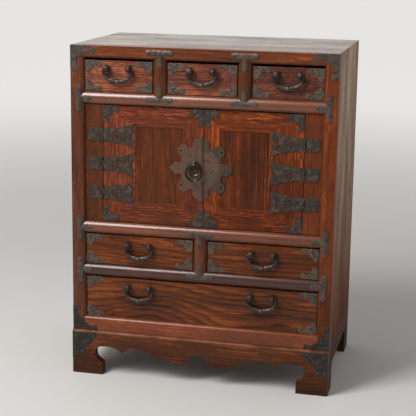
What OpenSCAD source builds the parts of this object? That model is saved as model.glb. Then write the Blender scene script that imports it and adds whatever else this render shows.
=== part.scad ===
// Small antique cabinet on a low stand: three small drawers over a pair of strap-hinged doors,
// two medium drawers and one wide drawer, with hammered iron fittings.
// Origin: middle of the footprint, on the floor. +X to the right, -Y to the front, +Z up.

/* [Case] */
// Width of the case
case_w = 600; // [570:5:660]
// Depth of the case, front frame to back board
case_d = 360; // [320:5:420]
// Height of the small drawers' openings
small_h = 74; // [68:1:90]
// Height of the cupboard's opening
cupboard_h = 267; // [240:1:320]
// Height of the medium drawers' openings
medium_h = 71; // [68:1:90]
// Height of the wide drawer's opening
wide_h = 97; // [85:1:120]
// Thickness of the side and top boards
board_t = 15; // [12:1:18]
// Thickness of the back board
back_t = 8; // [6:1:12]
// Thickness of the shelves
shelf_t = 12; // [8:1:16]
// Thickness of the upright partitions between drawers
partition_t = 12; // [8:1:16]

/* [Front frame] */
// Width of the two front posts
post_w = 31; // [28:1:36]
// Depth of the posts and rails, front to back
frame_d = 30; // [26:1:36]
// Height of the half-round rails
rail_h = 30; // [26:1:36]
// Height of the top rail
top_rail_h = 28; // [26:1:36]
// Height of the bottom rail
bottom_rail_h = 33; // [28:1:40]
// Width of the half-round dividers between drawers
divider_w = 34; // [28:1:38]
// Radius of the rounded inner edge of posts, top rail and bottom rail
bead_r = 10; // [6:0.5:12]
// Length of the pointed ends of rails and dividers
point_len = 12; // [8:0.5:14]
// Depth of the notch that takes a pointed end
point_depth = 14; // [10:1:18]
// How far doors and drawers lie behind the frame's front
recess = 9; // [6:0.5:11]

/* [Stand] */
// Height of the stand
base_h = 105; // [95:1:130]
// How far the stand's front board stands proud of the frame
base_proud = 7; // [3:0.5:12]
// Thickness of the stand's front board
base_front_t = 22; // [18:1:28]
// Thickness of the stand's side and rear boards
base_side_t = 18; // [14:1:24]
// Width of each front foot
foot_w = 72; // [60:1:85]
// Depth of each foot, seen from the side
foot_d = 60; // [50:1:80]
// Height of the arches beside the feet
arch_z = 70; // [62:1:76]
// Height of the lowest run of the scrolled apron
apron_low = 43; // [38:1:50]
// Height of the straight lower edge of the side boards
side_arch_z = 60; // [50:1:72]
// Rounding of the ledge's front edge
ledge_r = 5; // [2:0.5:8]

/* [Doors] */
// Thickness of the door frames
door_t = 18; // [15:1:20]
// Width of the fixed strip beside each door
jamb_w = 39; // [34:1:50]
// Gap around the doors and between them
door_gap = 0.8; // [0.6:0.1:1.2]
// Where the doors meet, measured to the right of the middle
meet_x = 6; // [2:0.5:10]
// Width of the stiles that carry the hinges
hinge_stile = 78; // [74:1:90]
// Distance of each panel's inner edge from the middle
panel_in = 42; // [36:1:56]
// Height of the door's top rail
door_top = 45; // [40:1:60]
// Height of the door's bottom rail
door_bottom = 48; // [40:1:60]
// Thickness of the panel's edge, held in the grooves
tongue_t = 5; // [4:0.5:7]
// Depth of the grooves
tongue_d = 6; // [4:0.5:9]
// How far the panels lie behind the door frames
panel_sunk = 1.2; // [0.5:0.1:3]

/* [Drawers] */
// Thickness of the drawer fronts
front_t = 18; // [15:1:20]
// Thickness of the drawers' sides and backs
side_t = 9; // [7:0.5:12]
// Thickness of the drawers' bottoms
bottom_t = 6; // [4:0.5:8]
// Gap at each end of a drawer front
slip = 0.6; // [0.4:0.1:1]
// Gap over the small drawers' fronts
small_top_gap = 5; // [1:0.5:6]
// Gap over the larger drawers' fronts
large_top_gap = 1.5; // [1:0.1:4]
// How far a drawer's tails reach into its front
tail_len = 12; // [8:1:14]

/* [Irons] */
// Thickness of the flat irons
iron_t = 1.2; // [0.8:0.1:2]
// Width of the corner irons on the drawers
corner_w = 40; // [30:1:46]
// Height of the corner irons on the drawers
corner_h = 28; // [22:1:32]
// Length of the arms of the door's corner irons
elbow_len = 39; // [30:1:46]
// Length of the case corner irons
case_iron_len = 58; // [48:1:70]
// Height of the lower ends of the stand's irons
foot_iron_z = 40; // [30:1:50]
// Length of the straps over the frame's joints
strap_len = 62; // [54:1:70]
// Width of the straps over the frame's joints
strap_w = 13; // [10:0.5:15]
// Height of the strap's dome
strap_t = 2.4; // [1.8:0.1:3.5]

/* [Hinges] */
// Height of a hinge at its knuckles
hinge_h = 30; // [26:1:36]
// Height of the flared end of a door leaf
flare_h = 57; // [48:1:60]
// Length of the door leaf from the pin
leaf_len = 78; // [64:1:80]
// Length of the jamb leaf from the pin
jamb_leaf = 33; // [26:1:36]
// Distance between hinges
hinge_step = 66; // [60:1:75]
// Radius of the hinge pin
pin_r = 1.5; // [1.2:0.1:2]
// Outside radius of the knuckles
knuckle_r = 3.2; // [2.8:0.1:3.6]
// Distance from the pin to the flat of a leaf
leaf_start = 4.2; // [4:0.1:5]
// Running clearance of pins in their holes
pin_fit = 0.06; // [0.03:0.01:0.1]

/* [Lock plate and ring] */
// Radius of the plate's disc
plate_r = 53; // [48:1:58]
// Half the plate's height
plate_reach = 74; // [66:1:80]
// Width of the upright bar
bar_w = 12; // [8:1:16]
// Height of the bar above the plate
bar_t = 3; // [2:0.5:4]
// Radius of the round boss under the ring
boss_r = 17; // [14:0.5:20]
// Radius of the ring's rod
ring_rod = 2.2; // [1.8:0.1:2.6]
// Radius of the ring to the middle of its rod
ring_r = 18; // [16:0.1:19]
// Distance from the plate to the ring's plane
ring_off = 11; // [10:0.5:13]
// Height of the ring's eye above the middle of the plate
eye_up = 10; // [6:0.5:11]

/* [Handles] */
// Distance between a handle's two posts
post_pitch = 51.5; // [46:0.5:56]
// Radius of a post's round head
head_r = 8.5; // [7.5:0.25:8.5]
// Distance from the drawer front to the handle's axis
handle_off = 9; // [9:0.5:12]
// Radius of the handle's arms
arm_r = 3; // [2.4:0.1:3.4]
// Drop of the handle to the middle of its grip
grip_drop = 28.5; // [24:0.5:30]
// Half the height of the grip at its middle
grip_r = 5.8; // [4:0.2:6.5]
// Half the depth of the grip at its middle
grip_depth = 3.8; // [3:0.2:5]
// Radius of the pivots
pivot_r = 1.9; // [1.5:0.1:2.2]

/* [Hidden] */
$fn = 48;

wood = [0.42, 0.2, 0.11];
door_wood = [0.5, 0.24, 0.12];
inner_wood = [0.62, 0.46, 0.3];
top_wood = [0.5, 0.4, 0.34];
iron = [0.27, 0.25, 0.22];
dark_iron = [0.2, 0.2, 0.2];

// Levels, from the floor up
wide_z = base_h + bottom_rail_h;
lower_rail_z = wide_z + wide_h;
medium_z = lower_rail_z + rail_h;
middle_rail_z = medium_z + medium_h;
cupboard_z = middle_rail_z + rail_h;
upper_rail_z = cupboard_z + cupboard_h;
small_z = upper_rail_z + rail_h;
top_rail_z = small_z + small_h;
case_top = top_rail_z + top_rail_h;
RAILS = [lower_rail_z, middle_rail_z, upper_rail_z];

// Depths: the handles' heads are the foremost points, the back board the rearmost
handle_proud = handle_off + head_r - recess;
front_y = (handle_proud - case_d) / 2;
face_y = front_y + recess;
frame_back = front_y + frame_d;
back_y = front_y + case_d;
back_face = back_y - back_t;

// Widths
half_w = case_w / 2;
post_in = half_w - post_w;
board_in = half_w - board_t;
small_w = (2 * post_in - 2 * divider_w) / 3;
medium_w = post_in - divider_w / 2;
small_x = small_w + divider_w;
medium_x = (post_in + divider_w / 2) / 2;
flat_strip = post_w - bead_r;
rest_gap = 0.3;
joint_gap = 0.1;
over = 1;

// Doors: the hinge pins lie in the plane of the doors' faces
hinge_x = post_in - jamb_w;
leaf_t = 1.5;
door_z = cupboard_z + door_gap;
door_h = cupboard_h - 2 * door_gap;
panel_out = hinge_x - hinge_stile;
meet_bevel = 1.5;
door_mid = cupboard_z + cupboard_h / 2;
hinge_zs = [door_mid - hinge_step, door_mid, door_mid + hinge_step];
knuckle_gap = 0.4;
middle_knuckle = hinge_h / 3;

// Lock plate and ring
plate_y = face_y - leaf_t;
boss_x = meet_x - max(door_gap / 2 + 0.4 + boss_r, ring_r + ring_rod);
eye_z = door_mid + eye_up;
eye_y = plate_y - ring_off;

// Drawers: name, middle, floor of the opening, width, height, gap on top, handle height, handles
DRAWERS = [
    ["small_drawer_left", -small_x, small_z, small_w, small_h, small_top_gap, 52.5, [0]],
    ["small_drawer_middle", 0, small_z, small_w, small_h, small_top_gap, 52.5, [0]],
    ["small_drawer_right", small_x, small_z, small_w, small_h, small_top_gap, 52.5, [0]],
    ["medium_drawer_left", -medium_x, medium_z, medium_w, medium_h, large_top_gap, 48, [0]],
    ["medium_drawer_right", medium_x, medium_z, medium_w, medium_h, large_top_gap, 48, [0]],
    ["wide_drawer", 0, wide_z, 2 * post_in, wide_h, large_top_gap, 75.5, [-medium_x, medium_x]],
];
function d_name(d) = d[0];
function d_x(d) = d[1];
function d_z(d) = d[2];
function d_w(d) = d[3];
function d_h(d) = d[4];
function d_gap(d) = d[5];
function d_pull(d) = d[2] + d[6];
function d_pulls(d) = d[7];

// Handles: name, middle, height of the axis
HANDLES = [
    ["handle_small_left", -small_x, d_pull(DRAWERS[0])],
    ["handle_small_middle", 0, d_pull(DRAWERS[1])],
    ["handle_small_right", small_x, d_pull(DRAWERS[2])],
    ["handle_medium_left", -medium_x, d_pull(DRAWERS[3])],
    ["handle_medium_right", medium_x, d_pull(DRAWERS[4])],
    ["handle_wide_left", -medium_x, d_pull(DRAWERS[5])],
    ["handle_wide_right", medium_x, d_pull(DRAWERS[5])],
];

// A flat outline of the front view, as a plate whose back lies at depth y
module plate(y, t) {
    translate([0, y, 0]) rotate([90, 0, 0]) linear_extrude(t) children();
}

// A profile of depth and height, drawn out along the width
module along_x(x, len) {
    translate([x, 0, 0]) rotate([90, 0, 90]) linear_extrude(len) children();
}

// A rod across the width through depth y and height z
module rod_x(x, y, z, r, len) {
    translate([x, y, z]) rotate([0, 90, 0]) cylinder(r = r, h = len);
}

module left() {
    mirror([1, 0, 0]) children();
}

module both() {
    children();
    left() children();
}

// Points of a curve with one control point
function bend(a, c, b, n = 8) = [
    for (i = [0 : n - 1]) let (t = i / n)
        (1 - t) * (1 - t) * a + 2 * t * (1 - t) * c + t * t * b
];

// A square corner at the origin, growing to the upper right, with lobes at its arms and its elbow
module lobed_corner(w, h, arm, lobe) {
    difference() {
        union() {
            square([w - lobe, arm]);
            square([arm, h - lobe]);
            square([arm * 1.35, arm * 1.35]);
            translate([w - lobe, arm - lobe * 0.6]) circle(lobe);
            translate([arm - lobe * 0.6, h - lobe]) circle(lobe);
            translate([arm * 1.35, arm * 1.35]) circle(lobe * 0.8);
        }
        translate([-lobe, -2 * lobe]) square([w + 2 * lobe, 2 * lobe]);
        translate([-2 * lobe, -lobe]) square([2 * lobe, h + 2 * lobe]);
        translate([w - lobe, arm + lobe * 1.1]) circle(lobe * 0.45);
        translate([arm + lobe * 1.1, h - lobe]) circle(lobe * 0.45);
    }
}

module side_board() {
    color(top_wood)
    translate([0, back_y, 0]) rotate([90, 0, 0]) linear_extrude(back_y - frame_back)
    polygon([[board_in, base_h], [half_w, base_h], [half_w, case_top], [board_in, case_top - board_t]]);
}

module top_board() {
    color(top_wood)
    plate(back_y, back_y - frame_back)
    polygon([[-board_in, case_top - board_t], [board_in, case_top - board_t], [half_w, case_top],
             [-half_w, case_top]]);
}

module back_board() {
    color(inner_wood)
    translate([-board_in, back_face, base_h])
    cube([2 * board_in, back_t, case_top - board_t - base_h]);
}

// The pointed end of a rail, pointing right from x, or of a divider, pointing up or down from z
module rail_point(x, z) {
    polygon([[x, z], [x + point_len, z + rail_h / 2], [x, z + rail_h]]);
}

module divider_point(x, z, way, room = 0) {
    polygon([[x - divider_w / 2 - room, z], [x, z + way * (point_len + room)],
             [x + divider_w / 2 + room, z]]);
}

// Cuts or fills the shallow notches in the front of the frame
module in_notch() {
    plate(front_y + point_depth, point_depth + over) children();
}

// Post and outer rails: flat outside, rounded on the inner front edge
module edge_profile(w) {
    translate([bead_r, 0]) square([w - bead_r, frame_d]);
    translate([0, bead_r]) square([w, frame_d - bead_r]);
    translate([bead_r, bead_r]) circle(bead_r);
}

module post() {
    color(wood)
    difference() {
        intersection() {
            translate([post_in, front_y, base_h]) linear_extrude(case_top - base_h)
            edge_profile(post_w);
            plate(frame_back + over, frame_d + 2 * over)
            polygon([[post_in, wide_z], [half_w, base_h], [half_w, case_top], [post_in, top_rail_z]]);
        }
        for (z = RAILS) in_notch() rail_point(post_in, z);
    }
}

// The top rail's section, with the rounded edge below; the bottom rail's is turned over
module rail_section(z, h, turned) {
    along_x(-half_w, case_w)
    translate([front_y, turned ? z + h : z]) mirror([0, turned ? 1 : 0, 0])
    mirror([1, -1, 0]) edge_profile(h);
}

module top_rail() {
    color(wood)
    difference() {
        intersection() {
            rail_section(top_rail_z, top_rail_h, false);
            plate(frame_back + over, frame_d + 2 * over)
            polygon([[-post_in, top_rail_z], [post_in, top_rail_z], [half_w, case_top], [-half_w, case_top]]);
        }
        for (s = [-1, 1]) in_notch() divider_point(s * small_x / 2, top_rail_z, 1);
    }
}

module bottom_rail() {
    color(wood)
    intersection() {
        rail_section(base_h, bottom_rail_h, true);
        plate(frame_back + over, frame_d + 2 * over)
        polygon([[-half_w, base_h], [half_w, base_h], [post_in, wide_z], [-post_in, wide_z]]);
    }
}

// Half-round bar across the front, with its ends pointed into the posts
module round_rail(z) {
    r = rail_h / 2;
    intersection() {
        along_x(-half_w, case_w) translate([front_y, z]) {
            translate([r, 0]) square([frame_d - r, rail_h]);
            translate([r, r]) circle(r);
        }
        union() {
            translate([-post_in, front_y - over, z - over])
            cube([2 * post_in, frame_d + 2 * over, rail_h + 2 * over]);
            both() in_notch() rail_point(post_in, z);
        }
    }
}

module upper_rail() {
    color(wood)
    difference() {
        round_rail(upper_rail_z);
        for (s = [-1, 1]) in_notch() divider_point(s * small_x / 2, small_z, -1);
    }
}

module middle_rail() {
    color(wood)
    difference() {
        round_rail(middle_rail_z);
        in_notch() divider_point(0, middle_rail_z, 1);
    }
}

module lower_rail() {
    color(wood)
    difference() {
        round_rail(lower_rail_z);
        in_notch() divider_point(0, medium_z, -1);
    }
}

// Half-round upright between two drawers, pointed into the rails above and below
module divider(x, z, h) {
    r = divider_w / 2;
    intersection() {
        translate([x, front_y + r, z - point_len]) linear_extrude(h + 2 * point_len) {
            translate([-r, 0]) square([divider_w, frame_d - r]);
            circle(r);
        }
        union() {
            translate([x - r - over, front_y - over, z]) cube([divider_w + 2 * over, frame_d + over, h]);
            in_notch() divider_point(x, z, -1);
            in_notch() divider_point(x, z + h, 1);
        }
    }
}

module dividers() {
    color(wood) {
        for (s = [-1, 1]) divider(s * small_x / 2, small_z, small_h);
        divider(0, medium_z, medium_h);
    }
}

module inner_board(x, z, w, h) {
    translate([x - w / 2, frame_back, z]) cube([w, back_face - frame_back, h]);
}

module partitions() {
    color(inner_wood) {
        for (s = [-1, 1])
            inner_board(s * small_x / 2, small_z, partition_t, case_top - board_t - small_z);
        inner_board(0, medium_z, partition_t, cupboard_z - shelf_t - medium_z);
    }
}

module shelf(z) {
    color(inner_wood) inner_board(0, z - shelf_t, 2 * board_in, shelf_t);
}

// A low strip on the cupboard floor stops the doors
module cupboard_floor() {
    stop_w = 120;
    stop_h = 8;
    shelf(cupboard_z);
    color(inner_wood)
    translate([-stop_w / 2, frame_back, cupboard_z - over]) cube([stop_w, stop_h, stop_h + over]);
}

// Strips on the shelves that guide the drawers' sides
module drawer_guides() {
    guide_h = 18;
    wall_w = board_in - post_in;
    side_w = (divider_w - partition_t) / 2 - joint_gap;
    color(inner_wood) {
        for (z = [wide_z, medium_z, small_z]) both()
            inner_board(board_in - wall_w / 2, z, wall_w, guide_h);
        for (s = [-1, 1], e = [-1, 1])
            inner_board(s * small_x / 2 + e * (divider_w - side_w) / 2, small_z, side_w, guide_h);
        for (e = [-1, 1]) inner_board(e * (divider_w - side_w) / 2, medium_z, side_w, guide_h);
    }
}

// Round clearance for the knuckles of the three hinges, on the right
module knuckle_notches() {
    for (z = hinge_zs) translate([hinge_x, face_y, z - hinge_h / 2 - knuckle_gap])
        cylinder(r = knuckle_r + 0.5, h = hinge_h + 2 * knuckle_gap);
}

module jambs() {
    color(wood) both()
    difference() {
        translate([hinge_x + door_gap / 2, face_y, cupboard_z])
        cube([jamb_w - door_gap / 2, door_t, cupboard_h]);
        knuckle_notches();
    }
}

// Half of the apron's lower edge, from the peak in the middle to the foot
function apron_half() = let (
    foot_x = half_w - foot_w, peak = arch_z + 2, hook = foot_x - 47, cusp = arch_z - 14,
    curl = foot_x + 18, curl_z = arch_z - 20, heel = arch_z - 41
) concat(
    bend([0, peak], [12, peak - 4], [22, apron_low + 12]),
    bend([22, apron_low + 12], [27, apron_low - 1], [40, apron_low]),
    bend([40, apron_low], [75, apron_low + 2], [hook - 76, arch_z - 11]),
    bend([hook - 76, arch_z - 11], [hook - 51, arch_z - 2], [hook - 26, arch_z]),
    bend([hook - 26, arch_z], [hook - 13, arch_z], [hook, cusp]),
    bend([hook, cusp], [hook + 11, arch_z - 1], [hook + 35, arch_z - 1]),
    bend([hook + 35, arch_z - 1], [curl, arch_z + 2], [curl, curl_z]),
    bend([curl, curl_z], [curl, heel + 7], [foot_x, heel]),
    [[foot_x, heel], [foot_x, 0], [half_w, 0], [half_w, base_h]]
);

// Front board with the scrolled apron and both front feet, under a rounded ledge
module stand_front() {
    edge = apron_half();
    flip = [for (i = [len(edge) - 1 : -1 : 1]) [-edge[i][0], edge[i][1]]];
    color(wood)
    intersection() {
        plate(front_y - base_proud + base_front_t, base_front_t) polygon(concat(edge, flip));
        along_x(-half_w, case_w) translate([front_y - base_proud, 0]) {
            translate([0, -over]) square([base_front_t + over, base_h - ledge_r + over]);
            translate([ledge_r, 0]) square([base_front_t + over - ledge_r, base_h]);
            translate([ledge_r, base_h - ledge_r]) circle(ledge_r);
        }
    }
}

// Side boards of the stand with plain feet, and the rear board between them
module stand_sides() {
    start = front_y - base_proud + base_front_t;
    front_foot = front_y - base_proud + foot_d;
    cove = 14;
    color(wood) {
        both()
        along_x(half_w - base_side_t, base_side_t)
        difference() {
            translate([start, 0]) square([back_y - start, base_h]);
            translate([front_foot, -over])
            square([back_y - foot_d - front_foot, side_arch_z - cove + over]);
            translate([front_foot + cove, 0])
            square([back_y - foot_d - front_foot - 2 * cove, side_arch_z]);
            for (y = [front_foot + cove, back_y - foot_d - cove])
                translate([y, side_arch_z - cove]) circle(cove);
        }
        translate([-half_w + base_side_t + joint_gap, back_y - base_side_t, side_arch_z])
        cube([case_w - 2 * base_side_t - 2 * joint_gap, base_side_t, base_h - side_arch_z]);
    }
}

// An iron that fills a corner, with a hollow, lobed long side; the corner is at the origin,
// lower right
module spandrel(w, h) {
    lobe = 6;
    arm = 7;
    hollow = min(w, h) - arm;
    intersection() {
        translate([-w, 0]) square([w, h]);
        union() {
            difference() {
                translate([-w, 0]) square([w, h]);
                translate([-w, h]) circle(hollow);
            }
            translate([-w + lobe, lobe]) circle(lobe);
            translate([-lobe, h - lobe]) circle(lobe);
            translate([-w + hollow * 0.72, h - hollow * 0.72]) circle(lobe);
        }
    }
}

// The broader iron on a foot, with a lobe at each end of its long side
module foot_iron(w, h) {
    lobe = 7;
    hollow = w * 0.42;
    intersection() {
        translate([-w, 0]) square([w, h]);
        union() {
            difference() {
                polygon([[0, 0], [-w + lobe, 0], [-w + lobe, 2 * lobe], [-w * 0.4, h * 0.85], [0, h]]);
                translate([-w * 0.85, h * 0.85]) circle(hollow);
            }
            translate([-w + lobe, lobe]) circle(lobe);
            translate([-w * 0.42, h * 0.8]) circle(lobe);
        }
    }
}

module corner_irons() {
    base_iron_h = base_h - ledge_r - foot_iron_z;
    color(iron) both() {
        plate(front_y, iron_t) {
            translate([half_w, case_top]) rotate(180)
            lobed_corner(case_iron_len, case_iron_len, 15, 7);
            translate([half_w, base_h + joint_gap]) spandrel(case_iron_len, case_iron_len);
        }
        plate(front_y - base_proud, iron_t)
        translate([half_w, base_h - ledge_r]) mirror([0, 1, 0]) foot_iron(case_iron_len, base_iron_h);
    }
}

// Bar with round ends, centred, along the first axis of the outline
module strap_outline(len, w) {
    square([len - w, w], center = true);
    for (s = [-1, 1]) translate([s * (len - w) / 2, 0]) circle(w / 2);
}

// Domed bar lying on the frame's front, across or upright
module domed_bar(x, z, len, w, t, upright) {
    rise = t - 0.8;
    dome = (w * w / 4 + rise * rise) / (2 * rise);
    translate([x, 0, z]) rotate([0, upright ? 90 : 0, 0])
    intersection() {
        plate(0, t + over) strap_outline(len, w);
        rod_x(-len, dome - t, 0, dome, 2 * len);
    }
}

// An outline of the front view, bent over a half-round rail or divider
module bent_on_rail(z, t) {
    r = rail_h / 2 + 0.05;
    intersection() {
        plate(front_y + r / 2, r) children();
        difference() {
            rod_x(-half_w, front_y + rail_h / 2, z + rail_h / 2, r + t, case_w);
            rod_x(-half_w - over, front_y + rail_h / 2, z + rail_h / 2, r, case_w + 2 * over);
        }
    }
}

module bent_on_divider(x, z, h, t) {
    r = divider_w / 2 + 0.05;
    intersection() {
        plate(front_y + r / 2, r) children();
        translate([x, front_y + divider_w / 2, z]) difference() {
            cylinder(r = r + t, h = h);
            translate([0, 0, -over]) cylinder(r = r, h = h + 2 * over);
        }
    }
}

// Strap over the joint of a half-round rail and the right post
module post_strap(z) {
    arm_h = strap_w - 2;
    arm_in = post_in - 17;
    arm_out = post_in + 7.3;
    bar_x = post_in + 13;
    mid = z + rail_h / 2;
    translate([0, front_y, 0]) domed_bar(bar_x, mid, strap_len, strap_w, strap_t, true);
    bent_on_rail(z, iron_t) {
        translate([arm_in + arm_h / 2, mid]) circle(arm_h / 2);
        translate([arm_in + arm_h / 2, mid - arm_h / 2]) square([arm_out - arm_in - arm_h / 2, arm_h]);
    }
}

// Upright stem of a divider's strap, from the edge of its bar at z over the joint, towards way
module divider_stem(x, z, way) {
    stem_w = strap_w - 2;
    stem_len = 25;
    low = way > 0 ? z : z - stem_len;
    bent_on_divider(x, low, stem_len, iron_t) {
        translate([x - stem_w / 2, way > 0 ? z : z - stem_len + stem_w / 2])
        square([stem_w, stem_len - stem_w / 2]);
        translate([x, z + way * (stem_len - stem_w / 2)]) circle(stem_w / 2);
    }
}

// Strap whose bar lies on the flat of the top rail; a tongue in front of the bead joins it to its stem
module strap_on_flat(x, z, way) {
    bar_h = strap_w - 1;
    stem_w = strap_w - 2;
    tongue = 5;
    translate([0, front_y, 0]) domed_bar(x, z, strap_len, bar_h, strap_t, false);
    plate(front_y, iron_t) translate([x - stem_w / 2, z + way * (bar_h / 2 + 1) - tongue / 2])
    square([stem_w, tongue]);
    divider_stem(x, z + way * (bar_h / 2 + 2), way);
}

module strap_on_rail(x, rail_z, way) {
    bar_h = strap_w - 2;
    z = rail_z + rail_h / 2 + way * 2;
    difference() {
        bent_on_rail(rail_z, iron_t + 0.4) translate([x, z]) strap_outline(strap_len, bar_h);
        intersection() {
            in_notch() divider_point(x, way > 0 ? rail_z + rail_h : rail_z, -way, joint_gap);
            translate([x, front_y + divider_w / 2, rail_z]) cylinder(r = divider_w / 2 + 0.05, h = rail_h);
        }
    }
    divider_stem(x, z + way * (bar_h / 2 - 1), way);
}

module strap_irons() {
    color(iron) {
        for (z = RAILS) both() post_strap(z);
        for (s = [-1, 1]) {
            strap_on_flat(s * small_x / 2, top_rail_z + bead_r + 6, -1);
            strap_on_rail(s * small_x / 2, upper_rail_z, 1);
        }
        strap_on_rail(0, middle_rail_z, -1);
        strap_on_rail(0, lower_rail_z, 1);
    }
}

// Leaf that lies on the jamb, with the upper and lower knuckles, on the right
module jamb_leaf_iron() {
    round_r = 5;
    side_h = (hinge_h - middle_knuckle) / 2 - knuckle_gap;
    difference() {
        union() {
            plate(face_y, leaf_t) {
                translate([hinge_x + leaf_start, -hinge_h / 2])
                square([jamb_leaf - leaf_start - round_r, hinge_h]);
                translate([hinge_x + leaf_start, -hinge_h / 2 + round_r])
                square([jamb_leaf - leaf_start, hinge_h - 2 * round_r]);
                for (s = [-1, 1])
                    translate([hinge_x + jamb_leaf - round_r, s * (hinge_h / 2 - round_r)]) circle(round_r);
            }
            for (z = [-hinge_h / 2, hinge_h / 2 - side_h]) translate([hinge_x, face_y, z]) {
                cylinder(r = knuckle_r, h = side_h);
                translate([0, -leaf_t, 0]) cube([leaf_start + over, leaf_t, side_h]);
            }
        }
        pin_bore();
    }
}

module pin_bore() {
    translate([hinge_x, face_y, -hinge_h]) cylinder(r = pin_r + pin_fit, h = 2 * hinge_h);
}

module jamb_hinges() {
    color(dark_iron) both() for (z = hinge_zs) translate([0, 0, z]) jamb_leaf_iron();
}

module hinge_pins() {
    color(dark_iron) both() for (z = hinge_zs)
        translate([hinge_x, face_y, z - hinge_h / 2]) cylinder(r = pin_r, h = hinge_h);
}

// Outline of a door leaf from its pin at the origin to its fish-tail end, along +X
module strap_leaf_outline() {
    swell = (flare_h - hinge_h) / 2;
    run = leaf_len - leaf_start;
    sweep = (run * run + swell * swell) / (2 * swell);
    tail = 10;
    diamond = 12;
    slot = 3.6;
    mid_x = leaf_len * 0.42;
    end = concat(
        bend([leaf_len + over, flare_h / 2], [leaf_len - tail, flare_h * 0.42],
             [leaf_len - tail * 0.6, flare_h * 0.27]),
        bend([leaf_len - tail * 0.6, flare_h * 0.27], [leaf_len - tail * 0.1, flare_h * 0.22],
             [leaf_len - tail * 0.4, flare_h * 0.17]),
        bend([leaf_len - tail * 0.4, flare_h * 0.17], [leaf_len - tail, flare_h * 0.12],
             [leaf_len - tail, 0])
    );
    difference() {
        translate([leaf_start, -flare_h / 2]) square([run, flare_h]);
        for (s = [-1, 1]) translate([leaf_start, s * (hinge_h / 2 + sweep)]) circle(sweep, $fn = 200);
        polygon(concat(end, [[leaf_len - tail, 0]],
                       [for (i = [len(end) - 1 : -1 : 0]) [end[i][0], -end[i][1]]]));
        for (a = [0 : 90 : 270]) translate([mid_x, 0]) rotate(a + 45) translate([diamond * 0.62, 0])
            square([slot, diamond - slot], center = true);
        translate([mid_x, 0]) rotate(45) square(slot, center = true);
        for (s = [-1, 1]) translate([leaf_len * 0.75, s * flare_h * 0.17]) rotate(s * -16)
            square([slot * 0.8, flare_h * 0.2], center = true);
    }
}

// Door leaf with its middle knuckle, on the right, pointing to the middle of the cabinet
module door_leaf_iron() {
    difference() {
        union() {
            plate(face_y, leaf_t) translate([hinge_x, 0]) mirror([1, 0, 0]) strap_leaf_outline();
            translate([hinge_x, face_y, -middle_knuckle / 2]) {
                cylinder(r = knuckle_r, h = middle_knuckle);
                translate([-leaf_start - over, -leaf_t, 0]) cube([leaf_start + over, leaf_t, middle_knuckle]);
            }
        }
        pin_bore();
    }
}

// Stiles and rails of a right-hand door whose meeting edge is at meet
module door_frame(meet) {
    outer = hinge_x - door_gap / 2;
    rail_len = panel_out - panel_in - 2 * joint_gap;
    difference() {
        union() {
            translate([0, 0, door_z]) linear_extrude(door_h)
            polygon([[meet, face_y], [panel_in, face_y], [panel_in, face_y + door_t],
                     [meet + meet_bevel, face_y + door_t]]);
            translate([panel_out, face_y, door_z]) cube([outer - panel_out, door_t, door_h]);
            translate([panel_in + joint_gap, face_y, door_z]) cube([rail_len, door_t, door_bottom]);
            translate([panel_in + joint_gap, face_y, door_z + door_h - door_top])
            cube([rail_len, door_t, door_top]);
        }
        panel_tongue(joint_gap);
        knuckle_notches();
    }
}

// The thin edge of a door panel, or with room added the groove for it
module panel_tongue(room) {
    translate([panel_in - tongue_d - room, face_y + panel_sunk + 3 - room,
               door_z + door_bottom - tongue_d - room])
    cube([panel_out - panel_in + 2 * tongue_d + 2 * room, tongue_t + 2 * room,
          door_h - door_bottom - door_top + 2 * tongue_d + 2 * room]);
}

module door_panel() {
    inset = joint_gap;
    panel_tongue(0);
    translate([panel_in + inset, face_y + panel_sunk, door_z + door_bottom + inset])
    cube([panel_out - panel_in - 2 * inset, 3 + tongue_t,
          door_h - door_bottom - door_top - 2 * inset]);
}

// Corner irons and strap leaves of a right-hand door. The irons by the hinges are set back by their
// own thickness, to clear the jamb when the door stands wide open.
module door_irons(meet) {
    outer = hinge_x - door_gap / 2;
    plate(face_y, iron_t) {
        for (top = [0, 1]) translate([0, top ? door_z + door_h : door_z]) mirror([0, top, 0]) {
            translate([meet, 0]) lobed_corner(elbow_len - 5, elbow_len, 13, 6);
            translate([outer - iron_t, 0]) mirror([1, 0, 0]) lobed_corner(elbow_len, elbow_len, 13, 6);
        }
    }
    for (z = hinge_zs) translate([0, 0, z]) door_leaf_iron();
}

// Lobed outline of the whole lock plate, about its middle
module lock_outline() {
    diag = plate_r * 0.75;
    lobe = plate_r * 0.26;
    notch = [plate_r * 0.94, plate_r * 0.43];
    difference() {
        union() {
            circle(plate_r);
            for (x = [-1, 1], z = [-1, 1]) {
                translate([x * diag, z * diag]) circle(lobe);
                translate([x * 9, z * (plate_reach - 17)]) circle(10);
            }
            for (s = [-1, 1]) {
                translate([s * (plate_reach - 17), 0]) rotate(45) square(23, center = true);
                translate([0, s * (plate_reach - 16)]) square([bar_w, 26], center = true);
            }
        }
        for (x = [-1, 1], z = [-1, 1]) {
            translate([x * notch[0], z * notch[1]]) circle(4.5);
            translate([x * (notch[0] - 1.5), z * (notch[1] - 6.5)]) circle(3);
            translate([x * notch[1], z * notch[0]]) circle(4.5);
            translate([x * diag * 1.16, z * diag * 0.98]) circle(2.2);
        }
    }
}

module lock_half(low, high) {
    plate(face_y, leaf_t)
    intersection() {
        translate([0, door_mid]) lock_outline();
        translate([low, door_mid - 2 * plate_reach]) square([high - low, 4 * plate_reach]);
    }
}

module lock_plate_left() {
    edge = meet_x - door_gap / 2;
    color(iron)
    union() {
        lock_half(-2 * plate_reach, edge);
        difference() {
            translate([0, plate_y + 0.2, 0])
            domed_bar(edge - bar_w / 2, door_mid, 2 * plate_reach, bar_w, bar_t + 0.2, true);
            translate([boss_x, plate_y + over, door_mid]) rotate([90, 0, 0])
            cylinder(r = boss_r + joint_gap, h = 4 * bar_t);
        }
    }
}

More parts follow.
